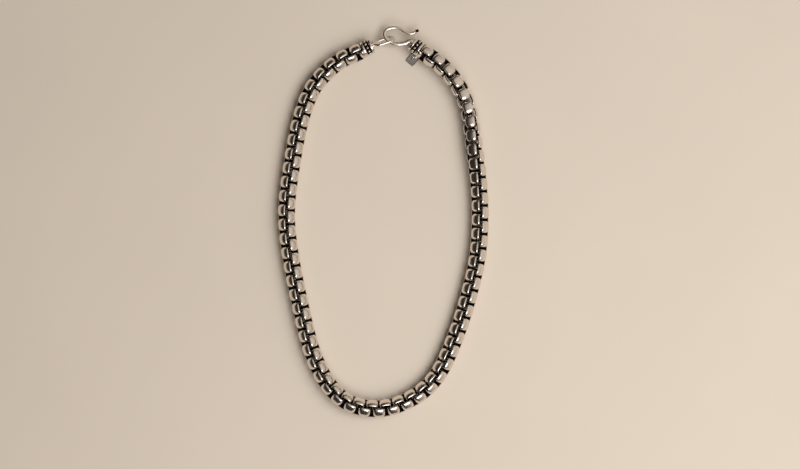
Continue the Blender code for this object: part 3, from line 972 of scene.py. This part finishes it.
class NECKLACE_OT_bead_rings(bpy.types.Operator):
    """Build the ring of beads in each cap's channel"""

    bl_idname = "necklace.bead_rings"
    bl_label = "Bead rings"

    def execute(self, context):
        sizes = settings("necklace_clasp")
        tree = bead_ring_tree()
        inner = sizes.channel_radius + 0.02 * MM
        outer = inner + 0.65 * MM
        half = sizes.cap_length / 2 - sizes.cap_rim - 0.05 * MM
        for side, _, _, _, matrix in caps():
            beads = add_object("beads", bpy.data.meshes.new("beads"))
            grow(beads, tree, {
                "Beads": sizes.bead_count, "Ring Radius": outer + 0.1 * MM,
                "Bead Radius": sizes.bead_radius, "Material": polished_silver(),
            })
            rows = [(outer, half, 1.0), (outer, -half, 1.0), (inner, -half, 1.0), (inner, half, 1.0)]
            band = band_ring("band", rows)
            band.materials.append(dark_silver())
            mesh = beads.data
            bpy.data.objects.remove(beads)
            item = merged(f"{side}_beads", [mesh, band])
            item.data.transform(matrix)
            stand_for(item, f"{side}_bead_ring")
        return {"FINISHED"}


def band_ring(name, profile, sides=48):
    """A flat band turned about local Z from a closed profile of (radius, height, recess)."""
    rows, recess, place = [], [], []
    for angle in np.linspace(0.0, 2 * math.pi, sides + 1)[:-1]:
        rows.append([(r * math.cos(angle), r * math.sin(angle), h) for r, h, _ in profile])
        recess += [deep for _, _, deep in profile]
        place += [(angle * r / MM, h / MM, 0.0) for r, h, _ in profile]
    return grid_mesh(name, rows, recess, place)


class NECKLACE_OT_eye(bpy.types.Operator):
    """Build the long wire eye"""

    bl_idname = "necklace.eye"
    bl_label = "Eye"

    def execute(self, context):
        sizes = settings("necklace_clasp")
        out = heading_vector(EYE_CAP[1])
        root = cap_faces(EYE_CAP)[0] + out * EYE_SOLDER_GAP
        base = Vector((root.x, root.y, Lay().height(0.0)))
        along = heading_vector(EYE_HEADING)
        beside = heading_vector(EYE_HEADING + 90.0) * math.cos(sizes.eye_tilt)
        beside.z = -math.sin(sizes.eye_tilt)
        half = sizes.eye_width / 2
        centre = sizes.eye_length - half - sizes.eye_wire / 2
        bend = [math.radians(angle) for angle in range(90, -91, -15)]
        tip = [(centre + half * math.cos(a), half * math.sin(a)) for a in bend]
        near, far, inset = 3.0 * MM, 4.6 * MM, half - 0.25 * MM
        outline = [(near, inset), (far, half), *tip, (far, -half), (near, -inset)]
        strands = []
        for side in (1, -1):
            foot = base + beside * side * EYE_ROOT_WIDTH / 2
            foot = foot - out * (foot - base).dot(out)
            strands.append([foot - out * EYE_SINK, foot + out * EYE_FOOT])
        knots = strands[0] + [base + along * x + beside * y for x, y in outline] + strands[1][::-1]
        points = smooth_curve(knots, 4)
        wires = [sizes.eye_wire] * len(points)
        item = add_object("eye_wire", swept_wire("eye_wire", points, wires, wires))
        item.data.materials.append(polished_silver())
        stand_for(item, "clasp_eye")
        return {"FINISHED"}


def hook_path(lay):
    """The hook's middle line from its cap to its tip, and the share of its length at each point."""
    out = heading_vector(HOOK_CAP[1])
    root = cap_faces(HOOK_CAP)[0] + out * EYE_SOLDER_GAP
    knots = [root, root + out * HOOK_FOOT, *(Vector((x, y, 0.0)) for x, y in HOOK_ROUTE)]
    lift = Vector((0.0, 0.0, lay.height(lay.total)))
    points = [point + lift for point in smooth_curve(knots, 6)]
    return points, [k / (len(points) - 1) for k in range(len(points))]


class NECKLACE_OT_hook(bpy.types.Operator):
    """Build the flat hook"""

    bl_idname = "necklace.hook"
    bl_label = "Hook"

    def execute(self, context):
        sizes = settings("necklace_clasp")
        points, shares = hook_path(Lay())
        taper = np.interp(shares, HOOK_TAPER_AT, HOOK_TAPER)
        widths = [float(share * sizes.hook_width) for share in taper]
        out = heading_vector(HOOK_CAP[1])
        points = [points[0] - out * EYE_SINK, *points]
        widths = [widths[0], *widths]
        heights = [width * sizes.hook_flatness for width in widths]
        item = add_object("hook_wire", swept_wire("hook_wire", points, widths, heights))
        item.data.materials.append(polished_silver())
        stand_for(item, "clasp_hook")
        return {"FINISHED"}


class NECKLACE_OT_hook_ball(bpy.types.Operator):
    """Build the ball at the hook's tip, dark on top with a bright collar"""

    bl_idname = "necklace.hook_ball"
    bl_label = "Hook ball"

    def execute(self, context):
        sizes = settings("necklace_clasp")
        points, _ = hook_path(Lay())
        out = (points[-1] - points[-2]).normalized()
        radius = sizes.ball_radius
        place = points[-1] + out * (radius + 0.1 * MM)
        collar = ring_mesh("collar", radius * 0.80, radius * 0.38, Matrix.Translation(place))
        collar.materials.append(polished_silver())
        domes = []
        for angle in np.linspace(-88.0, 88.0, 13):
            a = math.radians(float(angle))
            domes.append((radius * 0.64 * math.cos(a), radius * 0.84 * math.sin(a), 1.0))
        dome = lathe("dome", domes, 28, Matrix.Translation(place))
        dome.materials.append(dark_silver())
        item = merged("hook_tip_ball", [collar, dome])
        stand_for(item, "hook_ball")
        return {"FINISHED"}


class NECKLACE_OT_tag(bpy.types.Operator):
    """Build the bare square tag and its eyelet"""

    bl_idname = "necklace.tag"
    bl_label = "Hang tag"

    def execute(self, context):
        sizes = settings("necklace_tag")
        lay = Lay()
        back, side = tag_axes()
        pivot = tag_ring_place(lay.height(lay.total)) + side * sizes.ring_radius
        middle = pivot + side * (sizes.side / 2 - TAG_EDGE_INSET) + back * TAG_SHIFT
        middle.z = sizes.thickness / 2
        turn = Matrix((back, side, back.cross(side))).transposed().to_4x4()
        if back.cross(side).z < 0:
            turn = turn @ Matrix.Rotation(math.pi, 4, "Y")
        plate = plate_mesh("plate", sizes.side, sizes.thickness, Matrix.Translation(middle) @ turn)
        plate.materials.append(brushed_silver())
        eyelet = ring_mesh(
            "eyelet", sizes.eyelet_radius, sizes.wire, along_axis(pivot, back))
        eyelet.materials.append(polished_silver())
        item = merged("square_tag", [plate, eyelet])
        stand_for(item, "hang_tag")
        return {"FINISHED"}


class NECKLACE_OT_stage(bpy.types.Operator):
    """Set up the surface, the lights, the world and the camera"""

    bl_idname = "necklace.stage"
    bl_label = "Stage"

    def execute(self, context):
        scene = context.scene
        scene.view_settings.view_transform = "Standard"
        surface_plane()
        area_light("key", (0.20, -0.46, 0.66), 0.56, 3.2, (1.0, 1.0, 1.0))
        soft = area_light("soft", (0.62, 0.06, 0.92), 0.75, 7.7, (0.98, 0.99, 1.0))
        soft.visible_glossy = False
        studio_world()
        data = bpy.data.cameras.new("camera")
        data.lens = 85.0
        camera = bpy.data.objects.new("camera", data)
        scene.collection.objects.link(camera)
        camera.location = (0.0085, -0.0065, 0.976)
        scene.camera = camera
        return {"FINISHED"}


def area_light(name, place, size, power, colour):
    data = bpy.data.lights.new(name, "AREA")
    data.shape = "DISK"
    data.size = size
    data.energy = power
    data.color = colour
    lamp = bpy.data.objects.new(name, data)
    bpy.context.scene.collection.objects.link(lamp)
    lamp.location = place
    toward = -Vector(place)
    lamp.rotation_euler = toward.to_track_quat("-Z", "Y").to_euler()
    return lamp


def surface_plane():
    """The plain matte surface, with a faint paper-like tooth."""
    mesh = bpy.data.meshes.new("surface")
    reach = 2.5
    corners = [(-reach, -reach), (reach, -reach), (reach, reach), (-reach, reach)]
    mesh.from_pydata([(x, y, -0.03 * MM) for x, y in corners], [], [(0, 1, 2, 3)])
    item = add_object("surface", mesh)
    material = bpy.data.materials.new("Matte surface")
    material.use_nodes = True
    work = Shader(material.node_tree)
    paper = material.node_tree.nodes["Principled BSDF"]
    paper.inputs["Roughness"].default_value = 0.85
    paper.inputs["Specular IOR Level"].default_value = 0.2
    place = work.node("ShaderNodeTexCoord").outputs["Object"]
    cloud = work.node("ShaderNodeTexNoise", {"Vector": place, "Scale": 14.0, "Detail": 3.0})
    colour = settings("necklace_finish").surface
    tone = work.node("ShaderNodeMix", data_type="RGBA")
    tone.inputs[6].default_value = (*(0.97 * c for c in colour), 1.0)
    tone.inputs[7].default_value = (*(min(1.0, 1.03 * c) for c in colour), 1.0)
    work.tree.links.new(cloud.outputs[0], tone.inputs[0])
    work.tree.links.new(tone.outputs[2], paper.inputs["Base Color"])
    item.data.materials.append(material)


def studio_world():
    """A soft room: bright overhead and on its +X side, dark opposite, pale behind the surface."""
    world = bpy.data.worlds.new("studio")
    bpy.context.scene.world = world
    world.use_nodes = True
    work = Shader(world.node_tree)
    background = world.node_tree.nodes["Background"]
    way = work.node("ShaderNodeTexCoord").outputs["Generated"]
    bright = work.node(
        "ShaderNodeVectorMath", {0: way, 1: (0.72, 0.05, 0.69)}, operation="DOT_PRODUCT")
    room = work.node("ShaderNodeValToRGB", {0: bright.outputs["Value"]})
    stops = room.color_ramp.elements
    stops[0].position, stops[0].color = 0.0, (0.03, 0.028, 0.026, 1.0)
    stops[1].position, stops[1].color = 1.0, (0.72, 0.65, 0.58, 1.0)
    for position, colour in ((0.30, (0.07, 0.063, 0.057, 1.0)), (0.56, (0.44, 0.39, 0.34, 1.0))):
        stop = stops.new(position)
        stop.color = colour
    path = work.node("ShaderNodeLightPath")
    shown = work.node("ShaderNodeMix", data_type="RGBA")
    shown.inputs[7].default_value = (0.74, 0.66, 0.58, 1.0)
    work.tree.links.new(room.outputs[0], shown.inputs[6])
    work.tree.links.new(path.outputs["Is Camera Ray"], shown.inputs[0])
    work.tree.links.new(shown.outputs[2], background.inputs["Color"])


class NECKLACE_PT_panel(bpy.types.Panel):
    """Sizes, colours and the pieces to build"""

    bl_idname = "NECKLACE_PT_panel"
    bl_label = "Chain necklace"
    bl_space_type = "VIEW_3D"
    bl_region_type = "UI"
    bl_category = "Necklace"

    def draw(self, context):
        for name, group in SETTINGS.items():
            box = self.layout.box()
            for label in group.__annotations__:
                box.prop(getattr(context.scene, name), label)
        for operator in OPERATORS:
            self.layout.operator(operator.bl_idname)


OPERATORS = (
    NECKLACE_OT_chain, NECKLACE_OT_end_caps, NECKLACE_OT_bead_rings, NECKLACE_OT_eye,
    NECKLACE_OT_hook, NECKLACE_OT_hook_ball, NECKLACE_OT_tag, NECKLACE_OT_stage,
)


def register():
    for group in SETTINGS.values():
        bpy.utils.register_class(group)
    for operator in OPERATORS:
        bpy.utils.register_class(operator)
    bpy.utils.register_class(NECKLACE_PT_panel)
    for name, group in SETTINGS.items():
        setattr(bpy.types.Scene, name, PointerProperty(type=group))


def unregister():
    for name in SETTINGS:
        delattr(bpy.types.Scene, name)
    bpy.utils.unregister_class(NECKLACE_PT_panel)
    for operator in reversed(OPERATORS):
        bpy.utils.unregister_class(operator)
    for group in reversed(SETTINGS.values()):
        bpy.utils.unregister_class(group)


def main():
    register()
    bpy.ops.necklace.chain()
    bpy.ops.necklace.end_caps()
    bpy.ops.necklace.bead_rings()
    bpy.ops.necklace.eye()
    bpy.ops.necklace.hook()
    bpy.ops.necklace.hook_ball()
    bpy.ops.necklace.tag()
    bpy.ops.necklace.stage()


if __name__ == "__main__":
    main()
